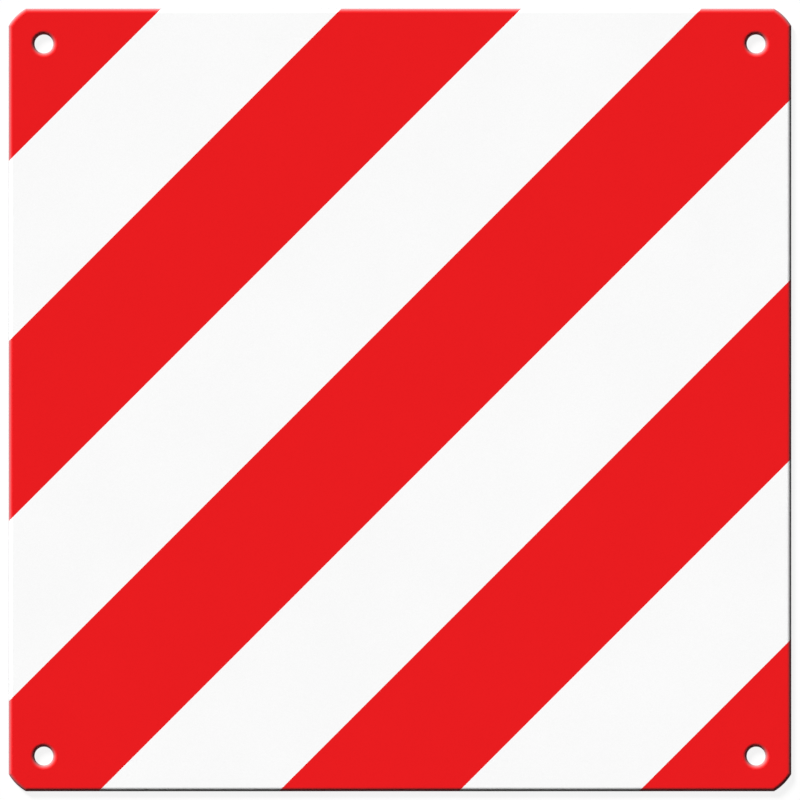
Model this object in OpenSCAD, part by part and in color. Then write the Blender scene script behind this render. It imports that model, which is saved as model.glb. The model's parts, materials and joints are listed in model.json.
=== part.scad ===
// Overhanging load sign: a flat square plate with red and white diagonal stripes.
// Its front rim is rounded, along the sides, across the corner arcs and round the four tie holes.
// The red stripes are thin sheeting, set flush in the face and carried over the rounded rim.
// It lies on its back at z = 0, face up, with its upper edge towards +Y.

/* [Plate] */
// Width and height of the square plate
plate_size = 500; // [400:10:600]
// Thickness of the plate
plate_thickness = 4; // [3.4:0.2:8]
// Radius of the rounded front rim, at the sides, the corners and the holes
rim_radius = 2.8; // [1.2:0.1:3.4]

/* [Corners] */
// Radius of the arc across each corner
corner_radius = 30; // [18:1:60]
// Length that the arc takes off each side
corner_cut = 11; // [5:0.5:16]

/* [Tie holes] */
// Diameter of each hole
hole_diameter = 12; // [6:0.5:16]
// Distance of each hole's centre from the two sides beside it
hole_inset = 22.5; // [18:0.5:40]

/* [Stripes] */
// Width of each stripe, red or white, measured along a side of the plate
stripe_width = 115; // [60:1:120]
// Thickness of the red sheeting
film_thickness = 0.3; // [0.1:0.05:0.8]
// Room for the glue under the sheeting
glue_line = 0.05; // [0.01:0.01:0.2]

/* [Hidden] */
stripe_angle = 45;
// One red stripe runs from corner to corner, with as many on each side of it as the plate takes
side_stripes = ceil((plate_size + stripe_width / 2) / (2 * stripe_width)) - 1;
// Width and spacing of the red stripes measured square to them
band_width = stripe_width * sin(stripe_angle);
band_pitch = 2 * band_width;
half_size = plate_size / 2;
hole_place = half_size - hole_inset;
// The sheeting ends where the rounded rim meets the plain side wall
rim_base = plate_thickness - rim_radius;
// Centre of a corner arc, set so that the arc meets each side at corner_cut from the corner
arc_inset = (corner_cut + sqrt(2 * corner_radius ^ 2 - corner_cut ^ 2)) / 2;
arc_place = half_size - arc_inset;
// How far a cutting shape runs past what it cuts
overrun = 5;
white = [0.96, 0.96, 0.96];
red = [0.92, 0.11, 0.13];
$fn = 96;

// Section from the middle of a plate or disc to its edge, with the front corner rounded
module rim_section(reach, height, radius) {
    square([reach - radius, height]);
    square([reach, height - radius]);
    intersection() {
        square([reach, height]);
        translate([reach - radius, height - radius])
            circle(r = radius);
    }
}

// Bar along Y with the rounded rim on both sides
module rounded_bar(shrink) {
    rotate([90, 0, 0])
        linear_extrude(height = plate_size + 2 * overrun, center = true)
            for (side = [0, 1])
                mirror([side, 0])
                    rim_section(half_size - shrink, plate_thickness - shrink, rim_radius - shrink);
}

// Square block past the arc's centre, less the rounded disc that stays
module corner_waste(shrink) {
    translate([arc_place, arc_place, 0])
        difference() {
            translate([0, 0, -overrun])
                cube([arc_inset + overrun, arc_inset + overrun, plate_thickness + 2 * overrun]);
            translate([0, 0, -overrun])
                cylinder(r = corner_radius - shrink, h = overrun);
            rotate_extrude()
                rim_section(corner_radius - shrink, plate_thickness - shrink, rim_radius - shrink);
        }
}

// Tie hole with its rim rounded into the face
module rounded_hole(shrink) {
    wall_radius = hole_diameter / 2 + shrink;
    lip_radius = rim_radius - shrink;
    mouth_radius = wall_radius + lip_radius;
    translate([hole_place, hole_place, 0]) {
        translate([0, 0, -overrun])
            cylinder(r = wall_radius, h = plate_thickness + 2 * overrun);
        rotate_extrude()
            difference() {
                translate([0, rim_base])
                    square([mouth_radius, lip_radius + overrun]);
                translate([mouth_radius, rim_base])
                    circle(r = lip_radius);
            }
    }
}

// The whole sign's form, or with shrink the form under a skin of that thickness
module rounded_plate(shrink) {
    difference() {
        intersection() {
            rounded_bar(shrink);
            rotate([0, 0, 90])
                rounded_bar(shrink);
        }
        for (quarter = [0 : 3])
            rotate([0, 0, 90 * quarter]) {
                corner_waste(shrink);
                rounded_hole(shrink);
            }
    }
}

// Straight diagonal bands, from the base of the rim upwards
module stripe_bands() {
    rotate([0, 0, stripe_angle])
        for (index = [-side_stripes : side_stripes])
            translate([-plate_size, index * band_pitch - band_width / 2, rim_base])
                cube([2 * plate_size, band_width, rim_radius + overrun]);
}

// Space of the stripes down to a depth under the sign's surface, and more outside the plate
module stripe_space(depth) {
    difference() {
        stripe_bands();
        rounded_plate(depth);
    }
}

module panel() {
    color(white)
        difference() {
            rounded_plate(0);
            stripe_space(film_thickness + glue_line);
        }
}

module red_stripes() {
    color(red)
        intersection() {
            rounded_plate(0);
            stripe_space(film_thickness);
        }
}

panel();
red_stripes();
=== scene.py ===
import json
import math

import bmesh
import bpy
from bpy.props import FloatProperty, FloatVectorProperty, IntProperty, PointerProperty
from mathutils import Matrix, Vector


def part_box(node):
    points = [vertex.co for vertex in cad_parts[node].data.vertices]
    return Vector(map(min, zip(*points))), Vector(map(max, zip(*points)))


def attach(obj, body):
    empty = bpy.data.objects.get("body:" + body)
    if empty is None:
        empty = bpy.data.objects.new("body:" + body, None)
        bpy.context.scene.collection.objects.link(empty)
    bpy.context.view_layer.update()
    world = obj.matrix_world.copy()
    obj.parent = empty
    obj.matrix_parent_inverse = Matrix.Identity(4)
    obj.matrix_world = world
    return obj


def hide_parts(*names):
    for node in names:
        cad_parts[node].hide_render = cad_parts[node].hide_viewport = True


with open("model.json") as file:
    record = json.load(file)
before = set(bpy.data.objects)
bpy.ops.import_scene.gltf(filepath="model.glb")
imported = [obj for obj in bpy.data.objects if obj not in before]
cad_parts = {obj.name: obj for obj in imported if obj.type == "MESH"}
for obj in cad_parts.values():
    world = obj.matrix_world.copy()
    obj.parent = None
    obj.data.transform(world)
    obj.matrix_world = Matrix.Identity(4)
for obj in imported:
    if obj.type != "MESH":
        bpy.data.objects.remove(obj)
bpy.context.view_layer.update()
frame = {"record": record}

bl_info = {
    "name": "Overhanging Load Sign",
    "version": (1, 0, 0),
    "blender": (4, 5, 0),
    "location": "View3D > Sidebar > Load Sign",
    "description": "Builds a square striped panel for an overhanging load, with its studio",
    "category": "Object",
}

BODY = "root"
MILLIMETRE = 0.001

# Sizes that the solids and the record already hold
PANEL_LOW, PANEL_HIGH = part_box("panel")
FILM_LOW, FILM_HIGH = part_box("red_stripes")
HOLES = next(mount["dims"] for mount in frame["record"]["mounts"] if mount["name"] == "corner_holes")
PLATE_SIZE = PANEL_HIGH.x - PANEL_LOW.x
PLATE_THICKNESS = FILM_HIGH.z
RIM_RADIUS = FILM_HIGH.z - FILM_LOW.z
HOLE_RADIUS = HOLES["hole_r_mm"] * MILLIMETRE
HOLE_SPACING = HOLES["spacing_x_mm"] * MILLIMETRE

# Width of the image, and of the sign in it, in pixels
IMAGE_WIDTH = 800
SIGN_IN_IMAGE = 782.6

STRIPE_ANGLE = math.radians(45)
QUARTER_TURN = math.radians(90)
FULL_TURN = math.radians(360)
# How far a cutting shape runs past what it cuts
OVERRUN = 5 * MILLIMETRE
# Two faces that meet at more than this angle have a sharp edge between them
SHARP_ANGLE = math.radians(40)
# Vertices closer than this are one
MERGE = 1e-7

# Depths under the face, between which the red pales into a painted highlight, the white turns grey as
# painted shade and the gloss dulls down the rim
RED_PAINTED_HIGHLIGHT_TURN = (0.0, 1.1 * MILLIMETRE)
WHITE_PAINTED_SHADE_TURN = (0.5 * MILLIMETRE, 1.4 * MILLIMETRE)
DULL_TURN = (0.8 * MILLIMETRE, 1.4 * MILLIMETRE)
# Features in a metre of the sheeting's beads, ripples, handling marks and cloudiness
BEADS = 2600.0
RIPPLES = 160.0
HANDLING = 60.0
CLOUDS = 14.0
# Most of a noise's values lie between these two
NOISE_MIDDLE = (0.3, 0.7)

WHITE_LIGHT = (1.0, 1.0, 1.0, 1.0)


def length(name, description, default):
    """A size in metres."""
    return FloatProperty(name=name, description=description, default=default, min=0.0,
                         unit="LENGTH", subtype="DISTANCE", precision=5)


def colour(name, description, default):
    """A colour in linear values."""
    return FloatVectorProperty(name=name, description=description, default=default,
                               subtype="COLOR", min=0.0, max=1.0)


def angle(name, description, degrees):
    """An angle, given in degrees."""
    return FloatProperty(name=name, description=description, default=math.radians(degrees),
                         subtype="ANGLE", unit="ROTATION")


class SignSizes(bpy.types.PropertyGroup):
    """Sizes of the sign, and how finely its rounds are made"""
    plate_size: length("Plate size", "Width and height of the square plate", PLATE_SIZE)
    thickness: length("Thickness", "Thickness of the plate", PLATE_THICKNESS)
    rim_radius: length("Rim radius", "Radius of the rounded front rim", RIM_RADIUS)
    corner_radius: length("Corner radius", "Radius of the arc across each corner",
                          30 * MILLIMETRE)
    corner_cut: length("Corner cut", "Length that the arc takes off each side",
                       11 * MILLIMETRE)
    hole_radius: length("Hole radius", "Radius of each tie hole", HOLE_RADIUS)
    hole_spacing: length("Hole spacing", "Distance between hole centres", HOLE_SPACING)
    stripe_width: length("Stripe width", "Width of a stripe along a side",
                         115 * MILLIMETRE)
    film_thickness: length("Sheeting", "Thickness of the red sheeting", 0.3 * MILLIMETRE)
    glue_line: length("Glue line", "Room for the glue under the sheeting", 0.05 * MILLIMETRE)
    rim_steps: IntProperty(name="Rim steps", description="Facets round the rim's section",
                           default=14, min=3, max=32)
    arc_steps: IntProperty(name="Corner steps", description="Facets along each corner arc",
                           default=18, min=3, max=64)
    hole_steps: IntProperty(name="Hole steps", description="Facets round each hole",
                            default=96, min=16, max=192)


class SignColours(bpy.types.PropertyGroup):
    """Colours of the sign, and the light that its floor gives"""
    red: colour("Red", "Colour of the red sheeting", (0.800, 0.0115, 0.0138))
    # The paler red down the rim is a painted highlight, standing in for the light on the lit rims
    red_rim_painted_highlight: colour("Red at the rim", "Colour of the red sheeting where it turns down over the rim",
                    (0.48, 0.170, 0.178))
    white: colour("White", "Colour of the white face", (0.955, 0.955, 0.955))
    # The grey down the white rim and side wall is painted shade that keeps the edge dark, not scuffing
    white_wall_painted_shade: colour("White at the side", "Colour of the white panel's scuffed side wall",
                       (0.52, 0.52, 0.525))
    floor: colour("Floor light", "Light that the pale floor throws up on the sign's sides",
                  (0.24, 0.24, 0.24))


class StudioSettings(bpy.types.PropertyGroup):
    """The key light, the fill and the camera"""
    key_azimuth: angle("Key azimuth", "Where the key light stands, from +X towards +Y", 124.5)
    key_altitude: angle("Key altitude", "Height of the key light above the floor", 27.0)
    key_spread: angle("Key spread", "Width of the key light as the sign sees it", 16.0)
    key_strength: FloatProperty(name="Key strength", description="Irradiance of the key light",
                                default=7.09, min=0.0)
    fill_strength: FloatProperty(name="Fill strength", description="Strength of the even fill",
                                 default=0.008, min=0.0)
    lens: FloatProperty(name="Lens", description="Focal length in millimetres",
                        default=500.0, min=20.0)
    frame_width: length("Frame width", "Width of the view at the sign",
                        PLATE_SIZE * IMAGE_WIDTH / SIGN_IN_IMAGE)


class SignSettings(bpy.types.PropertyGroup):
    """All the settings, kept on the scene"""
    sizes: PointerProperty(type=SignSizes)
    colours: PointerProperty(type=SignColours)
    studio: PointerProperty(type=StudioSettings)


# Shapes

def arc_inset(cut, radius):
    """Distance of a corner arc's centre from the two sides that the arc joins."""
    return (cut + math.sqrt(2 * radius ** 2 - cut ** 2)) / 2


def shrunk_corner(sizes, shrink):
    """Cut and radius of a corner arc that keeps its centre while the sides and the arc move in."""
    radius = sizes.corner_radius - shrink
    inset = arc_inset(sizes.corner_cut, sizes.corner_radius) - shrink
    return inset - math.sqrt(radius ** 2 - inset ** 2), radius


def outline_face(bm, half, cut, radius, steps):
    """The plate's outline: a square with a shallow arc across each corner."""
    inset = arc_inset(cut, radius)
    centre = Vector((half - inset, half - inset, 0))
    start = Vector((half, half - cut, 0))
    lean = math.atan2(start.y - centre.y, start.x - centre.x)
    for quarter in range(4):
        turn = Matrix.Rotation(QUARTER_TURN * quarter, 4, "Z")
        first = bmesh.ops.create_vert(bm, co=turn @ start)["vert"][0]
        bmesh.ops.spin(bm, geom=[first], cent=turn @ centre, axis=(0, 0, 1), dvec=(0, 0, 0),
                       angle=QUARTER_TURN - 2 * lean, steps=steps, use_duplicate=False)
    # Each arc's end is joined to the start of the next arc by a straight side
    loose_ends = [vert for vert in bm.verts if len(vert.link_edges) == 1]
    loose_ends.sort(key=lambda vert: math.atan2(vert.co.y, vert.co.x))
    for index in range(0, len(loose_ends), 2):
        pair = (loose_ends[index - 1], loose_ends[index])
        bmesh.ops.contextual_create(bm, geom=pair)
    return bmesh.ops.contextual_create(bm, geom=bm.edges[:])["faces"][0]


def rounded_blank(sizes, shrink):
    """The plate with its rounded front rim and no holes, or the form under a skin as deep as shrink."""
    bm = bmesh.new()
    cut, radius = shrunk_corner(sizes, shrink)
    face = outline_face(bm, sizes.plate_size / 2 - shrink, cut, radius, sizes.arc_steps)
    height = sizes.thickness - shrink
    raised = bmesh.ops.extrude_face_region(bm, geom=[face])["geom"]
    top = [element for element in raised if isinstance(element, bmesh.types.BMVert)]
    bmesh.ops.translate(bm, verts=top, vec=(0, 0, height))
    rim = [edge for edge in bm.edges if all(vert.co.z > height / 2 for vert in edge.verts)]
    bmesh.ops.bevel(bm, geom=rim, offset=sizes.rim_radius - shrink, offset_type="OFFSET",
                    segments=sizes.rim_steps, profile=0.5, affect="EDGES", material=-1)
    return new_piece(bm, "blank")


def hole_cutters(sizes, shrink):
    """Four turned shapes that cut the tie holes and round their mouths."""
    wall = sizes.hole_radius + shrink
    lip = sizes.rim_radius - shrink
    base = sizes.thickness - sizes.rim_radius
    top = sizes.thickness + OVERRUN
    bm = bmesh.new()
    for across in (-1, 1):
        for along in (-1, 1):
            axis = Vector((across, along, 0)) * sizes.hole_spacing / 2
            first = bm.verts.new(axis + Vector((wall, 0, base)))
            lip_centre = axis + Vector((wall + lip, 0, base))
            arc = bmesh.ops.spin(bm, geom=[first], cent=lip_centre, axis=(0, 1, 0), dvec=(0, 0, 0),
                                 angle=QUARTER_TURN, steps=sizes.rim_steps)
            last = arc["geom_last"][0]
            corners = [bm.verts.new(axis + Vector((x, 0, z)))
                       for x, z in ((0, -OVERRUN), (wall, -OVERRUN), (wall + lip, top), (0, top))]
            for pair in ((corners[0], corners[1]), (corners[1], first), (last, corners[2]),
                         (corners[2], corners[3])):
                bm.edges.new(pair)
            section = [vert for vert in bm.verts if not vert.link_faces]
            section += [edge for edge in bm.edges if not edge.link_faces]
            bmesh.ops.spin(bm, geom=section, cent=axis, axis=(0, 0, 1), dvec=(0, 0, 0),
                           angle=FULL_TURN, steps=sizes.hole_steps, use_merge=True)
    return new_piece(bm, "hole_cutters")


def stripe_bands(sizes):
    """Straight diagonal bands where the sign is red, from the base of the rim upwards."""
    base = sizes.thickness - sizes.rim_radius
    height = sizes.rim_radius + OVERRUN
    band_width = sizes.stripe_width * math.sin(STRIPE_ANGLE)
    reach = sizes.plate_size + sizes.stripe_width / 2
    side_stripes = math.ceil(reach / (2 * sizes.stripe_width)) - 1
    bm = bmesh.new()
    for index in range(-side_stripes, side_stripes + 1):
        cube = bmesh.ops.create_cube(bm, size=1)["verts"]
        bmesh.ops.scale(bm, verts=cube, vec=(2 * sizes.plate_size, band_width, height))
        bmesh.ops.translate(bm, verts=cube, vec=(0, 2 * index * band_width, base + height / 2))
    turn = Matrix.Rotation(STRIPE_ANGLE, 3, "Z")
    bmesh.ops.rotate(bm, verts=bm.verts, cent=(0, 0, 0), matrix=turn)
    return new_piece(bm, "bands")


def close_form(bm, name):
    """Merges what meets and turns the faces outwards. It raises an error unless the form is closed."""
    bmesh.ops.remove_doubles(bm, verts=bm.verts, dist=MERGE)
    bmesh.ops.recalc_face_normals(bm, faces=bm.faces)
    if any(not edge.is_manifold for edge in bm.edges):
        bm.free()
        raise RuntimeError(f"{name} isn't a closed form")


def new_piece(bm, name):
    """Makes an object of a closed form."""
    close_form(bm, name)
    mesh = bpy.data.meshes.new(name)
    bm.to_mesh(mesh)
    bm.free()
    piece = bpy.data.objects.new(name, mesh)
    bpy.context.scene.collection.objects.link(piece)
    return piece


def combine(piece, tool, operation):
    """Cuts piece with tool, or keeps what they share, and takes the tool away."""
    modifier = piece.modifiers.new(operation.lower(), "BOOLEAN")
    modifier.operation = operation
    modifier.solver = "EXACT"
    modifier.object = tool
    view = bpy.context.evaluated_depsgraph_get()
    mesh = bpy.data.meshes.new_from_object(piece.evaluated_get(view))
    piece.modifiers.clear()
    old, piece.data = piece.data, mesh
    bpy.data.meshes.remove(old)
    tool_mesh = tool.data
    bpy.data.objects.remove(tool)
    bpy.data.meshes.remove(tool_mesh)
    return piece


def rounded_plate(sizes, shrink):
    """The whole sign's form, or the form under a skin as deep as shrink."""
    return combine(rounded_blank(sizes, shrink), hole_cutters(sizes, shrink), "DIFFERENCE")


def stripe_space(sizes, depth):
    """Space of the red stripes down to a depth under the sign's surface."""
    return combine(stripe_bands(sizes), rounded_plate(sizes, depth), "DIFFERENCE")


def dress(piece, name, material, node):
    """Smooths the rounds, keeps the edges crisp and puts the piece in the place of its CAD node."""
    bm = bmesh.new()
    bm.from_mesh(piece.data)
    close_form(bm, name)
    for face in bm.faces:
        face.smooth = True
    for edge in bm.edges:
        edge.smooth = edge.calc_face_angle() < SHARP_ANGLE
    bm.to_mesh(piece.data)
    bm.free()
    piece.name = piece.data.name = name
    weighted = piece.modifiers.new("flat faces stay flat", "WEIGHTED_NORMAL")
    weighted.keep_sharp = True
    weighted.weight = 100
    piece.data.materials.clear()
    piece.data.materials.append(material)
    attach(piece, BODY)
    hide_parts(node)


# Materials

def new_material(name):
    """A material with an empty node tree, and the tree."""
    material = bpy.data.materials.new(name)
    material.use_nodes = True
    tree = material.node_tree
    tree.nodes.clear()
    return material, tree


def add_node(tree, kind, **settings):
    """A new node with its settings."""
    node = tree.nodes.new(kind)
    for key, value in settings.items():
        setattr(node, key, value)
    return node


def set_inputs(node, **values):
    """Sets sockets by name, with an underscore for each space."""
    for key, value in values.items():
        node.inputs[key.replace("_", " ")].default_value = value


def grain(tree, scale, detail):
    """Fine noise on the piece's own coordinates. Scale counts features in a metre."""
    place = add_node(tree, "ShaderNodeTexCoord")
    noise = add_node(tree, "ShaderNodeTexNoise")
    set_inputs(noise, Scale=scale, Detail=detail, Roughness=0.5)
    tree.links.new(place.outputs["Object"], noise.inputs["Vector"])
    return noise


def spread(tree, noise, low, high):
    """Maps the middle of a noise's range to the values between low and high."""
    mapped = add_node(tree, "ShaderNodeMapRange")
    start, end = NOISE_MIDDLE
    set_inputs(mapped, From_Min=start, From_Max=end, To_Min=low, To_Max=high)
    tree.links.new(noise.outputs["Fac"], mapped.inputs["Value"])
    return mapped.outputs["Result"]


def fade(tree, height, top, turn):
    """0 on the face and 1 down the rim. It rises between the two depths in turn, measured from top."""
    start, end = turn
    mapped = add_node(tree, "ShaderNodeMapRange")
    set_inputs(mapped, From_Min=top - start, From_Max=top - end)
    tree.links.new(height, mapped.inputs["Value"])
    return mapped.outputs["Result"]


def blend(tree, kind, factor, first, second):
    """Mixes two colours or numbers. Each is a value or another node's output."""
    mix = add_node(tree, "ShaderNodeMix", data_type=kind)
    names = {"RGBA": ("A_Color", "B_Color"), "FLOAT": ("A_Float", "B_Float")}[kind]
    sockets = {socket.identifier: socket for socket in mix.inputs}
    tree.links.new(factor, sockets["Factor_Float"])
    for name, value in zip(names, (first, second)):
        if isinstance(value, bpy.types.NodeSocket):
            tree.links.new(value, sockets[name])
        else:
            sockets[name].default_value = value
    return next(socket for socket in mix.outputs if socket.enabled)


def choose(tree, factor, first, second):
    """Mixes two shaders, given by their outputs."""
    mix = add_node(tree, "ShaderNodeMixShader")
    tree.links.new(factor, mix.inputs["Fac"])
    for socket, shader in zip(mix.inputs[1:], (first, second)):
        tree.links.new(shader, socket)
    return mix.outputs["Shader"]


def bump(tree, noise, strength, height, under=None):
    """Raises the surface by a noise, over an earlier bump where one is given."""
    raised = add_node(tree, "ShaderNodeBump")
    set_inputs(raised, Strength=strength, Distance=height)
    tree.links.new(noise.outputs["Fac"], raised.inputs["Height"])
    if under is not None:
        tree.links.new(under, raised.inputs["Normal"])
    return raised.outputs["Normal"]


def beaded_sheeting(name, top, face_colour, painted_rim_tone, turn):
    """Smooth sheeting with a fine grain of beads. Down the rim it has another tone, painted highlight on
    the red and painted shade on the white, and less gloss.
    """
    darkest_cloud = 0.985
    darkest_bead = 0.95
    face_roughness = 0.50
    unevenness = 0.03
    rim_roughness = 0.80
    material, tree = new_material(name)
    shader = add_node(tree, "ShaderNodeBsdfPrincipled")
    set_inputs(shader, Specular_IOR_Level=0.10, IOR=1.5)
    output = add_node(tree, "ShaderNodeOutputMaterial")
    tree.links.new(shader.outputs["BSDF"], output.inputs["Surface"])

    place = add_node(tree, "ShaderNodeTexCoord")
    split = add_node(tree, "ShaderNodeSeparateXYZ")
    tree.links.new(place.outputs["Object"], split.inputs["Vector"])
    height = split.outputs["Z"]

    beads = grain(tree, BEADS, detail=1.0)
    clouds = grain(tree, CLOUDS, detail=3.0)
    # The rim tone paints light: a highlight on the red, shade on the white
    tone = blend(tree, "RGBA", fade(tree, height, top, turn), (*face_colour, 1.0), (*painted_rim_tone, 1.0))
    for noise, darkest in ((clouds, darkest_cloud), (beads, darkest_bead)):
        scaled = add_node(tree, "ShaderNodeVectorMath", operation="SCALE")
        tree.links.new(tone, scaled.inputs["Vector"])
        tree.links.new(spread(tree, noise, darkest, 1.0), scaled.inputs["Scale"])
        tone = scaled.outputs["Vector"]
    tree.links.new(tone, shader.inputs["Base Color"])

    handling = grain(tree, HANDLING, detail=4.0)
    handled = spread(tree, handling, face_roughness - unevenness, face_roughness + unevenness)
    dull = fade(tree, height, top, DULL_TURN)
    tree.links.new(blend(tree, "FLOAT", dull, handled, rim_roughness), shader.inputs["Roughness"])

    beaded = bump(tree, beads, strength=0.5, height=0.03 * MILLIMETRE)
    ripples = grain(tree, RIPPLES, detail=2.0)
    rippled = bump(tree, ripples, strength=0.25, height=0.02 * MILLIMETRE, under=beaded)
    tree.links.new(rippled, shader.inputs["Normal"])
    return material


def studio_floor(name, light):
    """A pale floor, white to the camera with a light shadow, which throws light up on the sign's sides."""
    shadow_for_camera = 0.12
    shadow_in_gloss = 0.80
    material, tree = new_material(name)
    output = add_node(tree, "ShaderNodeOutputMaterial")
    bounce = add_node(tree, "ShaderNodeEmission")
    set_inputs(bounce, Color=(*light, 1.0), Strength=1.0)
    shaded = add_node(tree, "ShaderNodeBsdfDiffuse")
    set_inputs(shaded, Color=WHITE_LIGHT)
    glow = add_node(tree, "ShaderNodeEmission")
    set_inputs(glow, Color=WHITE_LIGHT, Strength=1.0)
    path = add_node(tree, "ShaderNodeLightPath")
    share = add_node(tree, "ShaderNodeMapRange")
    set_inputs(share, To_Min=shadow_for_camera, To_Max=shadow_in_gloss)
    tree.links.new(path.outputs["Is Glossy Ray"], share.inputs["Value"])
    seen = choose(tree, share.outputs["Result"], glow.outputs["Emission"], shaded.outputs["BSDF"])
    surface = choose(tree, background_rays(tree), bounce.outputs["Emission"], seen)
    tree.links.new(surface, output.inputs["Surface"])
    return material


def background_rays(tree):
    """1 for camera, glossy and transmission rays, which see the white background, and 0 for the others."""
    path = add_node(tree, "ShaderNodeLightPath")
    total = path.outputs["Is Camera Ray"]
    for kind in ("Is Glossy Ray", "Is Transmission Ray"):
        either = add_node(tree, "ShaderNodeMath", operation="MAXIMUM")
        tree.links.new(total, either.inputs[0])
        tree.links.new(path.outputs[kind], either.inputs[1])
        total = either.outputs["Value"]
    return total


# Operators

class LOADSIGN_OT_white_panel(bpy.types.Operator):
    """Build the white panel, with room in its face for the red sheeting"""
    bl_idname = "loadsign.white_panel"
    bl_label = "White panel"

    def execute(self, context):
        sign = context.scene.load_sign
        depth = sign.sizes.film_thickness + sign.sizes.glue_line
        piece = combine(rounded_plate(sign.sizes, shrink=0.0), stripe_space(sign.sizes, depth),
                        "DIFFERENCE")
        material = beaded_sheeting("white_plastic", sign.sizes.thickness, sign.colours.white,
                                   sign.colours.white_wall_painted_shade, WHITE_PAINTED_SHADE_TURN)
        dress(piece, "white_panel", material, "panel")
        return {"FINISHED"}


class LOADSIGN_OT_red_sheeting(bpy.types.Operator):
    """Build the red stripes, flush in the face and carried over the rounded rim"""
    bl_idname = "loadsign.red_sheeting"
    bl_label = "Red sheeting"

    def execute(self, context):
        sign = context.scene.load_sign
        piece = combine(rounded_plate(sign.sizes, shrink=0.0),
                        stripe_space(sign.sizes, sign.sizes.film_thickness), "INTERSECT")
        material = beaded_sheeting("red_sheeting", sign.sizes.thickness, sign.colours.red,
                                   sign.colours.red_rim_painted_highlight, RED_PAINTED_HIGHLIGHT_TURN)
        dress(piece, "red_sheeting", material, "red_stripes")
        return {"FINISHED"}


class LOADSIGN_OT_studio(bpy.types.Operator):
    """Set the floor, the lights and the camera"""
    bl_idname = "loadsign.studio"
    bl_label = "Studio"

    def execute(self, context):
        scene = context.scene
        sign = scene.load_sign
        self.add_floor(scene, sign.colours)
        self.add_key(scene, sign.studio)
        self.add_surroundings(scene, sign.studio)
        self.add_camera(scene, sign)
        scene.view_settings.view_transform = "Standard"
        return {"FINISHED"}

    def add_floor(self, scene, colours):
        """A round floor, just under the sign."""
        radius = 30.0
        segments = 64
        gap = 0.1 * MILLIMETRE
        bm = bmesh.new()
        bmesh.ops.create_circle(bm, cap_ends=True, segments=segments, radius=radius)
        bmesh.ops.translate(bm, verts=bm.verts, vec=(0, 0, -gap))
        mesh = bpy.data.meshes.new("floor")
        bm.to_mesh(mesh)
        bm.free()
        floor = bpy.data.objects.new("floor", mesh)
        mesh.materials.append(studio_floor("floor", colours.floor))
        scene.collection.objects.link(floor)

    def add_key(self, scene, studio):
        """The soft key light. Gloss doesn't show it, so that no view of the face is all glare."""
        lamp = bpy.data.lights.new("key", "SUN")
        lamp.energy = studio.key_strength
        lamp.angle = studio.key_spread
        key = bpy.data.objects.new("key", lamp)
        level = math.cos(studio.key_altitude)
        towards = Vector((level * math.cos(studio.key_azimuth), level * math.sin(studio.key_azimuth),
                          math.sin(studio.key_altitude)))
        key.rotation_euler = towards.to_track_quat("Z", "Y").to_euler()
        key.location = towards
        key.visible_glossy = False
        scene.collection.objects.link(key)

    def add_surroundings(self, scene, studio):
        """A faint even fill, and white where the camera or a gloss looks past the floor."""
        world = bpy.data.worlds.new("studio")
        world.use_nodes = True
        tree = world.node_tree
        tree.nodes.clear()
        fill = add_node(tree, "ShaderNodeBackground")
        set_inputs(fill, Color=WHITE_LIGHT, Strength=studio.fill_strength)
        backdrop = add_node(tree, "ShaderNodeBackground")
        set_inputs(backdrop, Color=WHITE_LIGHT, Strength=1.0)
        output = add_node(tree, "ShaderNodeOutputWorld")
        surface = choose(tree, background_rays(tree), fill.outputs["Background"],
                         backdrop.outputs["Background"])
        tree.links.new(surface, output.inputs["Surface"])
        scene.world = world

    def add_camera(self, scene, sign):
        """A camera straight above, framed at the level where the plate is widest."""
        data = bpy.data.cameras.new("camera")
        data.lens = sign.studio.lens
        data.sensor_fit = "HORIZONTAL"
        widest_level = sign.sizes.thickness - sign.sizes.rim_radius
        distance = sign.studio.frame_width * data.lens / data.sensor_width
        camera = bpy.data.objects.new("camera", data)
        camera.location = (0, 0, widest_level + distance)
        scene.collection.objects.link(camera)
        scene.camera = camera


class LOADSIGN_PT_sidebar(bpy.types.Panel):
    """The sign's pieces, sizes, colours and studio"""
    bl_label = "Overhanging Load Sign"
    bl_idname = "LOADSIGN_PT_sidebar"
    bl_space_type = "VIEW_3D"
    bl_region_type = "UI"
    bl_category = "Load Sign"

    def draw(self, context):
        sign = context.scene.load_sign
        for operator in OPERATORS:
            self.layout.operator(operator.bl_idname)
        for group in (sign.sizes, sign.colours, sign.studio):
            box = self.layout.box()
            for name in group.__annotations__:
                box.prop(group, name)


OPERATORS = (LOADSIGN_OT_white_panel, LOADSIGN_OT_red_sheeting, LOADSIGN_OT_studio)
CLASSES = (SignSizes, SignColours, StudioSettings, SignSettings, *OPERATORS, LOADSIGN_PT_sidebar)


def register():
    """Registers the classes and puts the settings on the scene."""
    for cls in CLASSES:
        bpy.utils.register_class(cls)
    bpy.types.Scene.load_sign = PointerProperty(type=SignSettings)


def unregister():
    """Takes the settings and the classes away."""
    del bpy.types.Scene.load_sign
    for cls in reversed(CLASSES):
        bpy.utils.unregister_class(cls)


def main():
    """Builds the studio and the sign."""
    register()
    bpy.ops.loadsign.studio()
    bpy.ops.loadsign.white_panel()
    bpy.ops.loadsign.red_sheeting()
    bpy.context.view_layer.update()


if __name__ == "__main__":
    main()
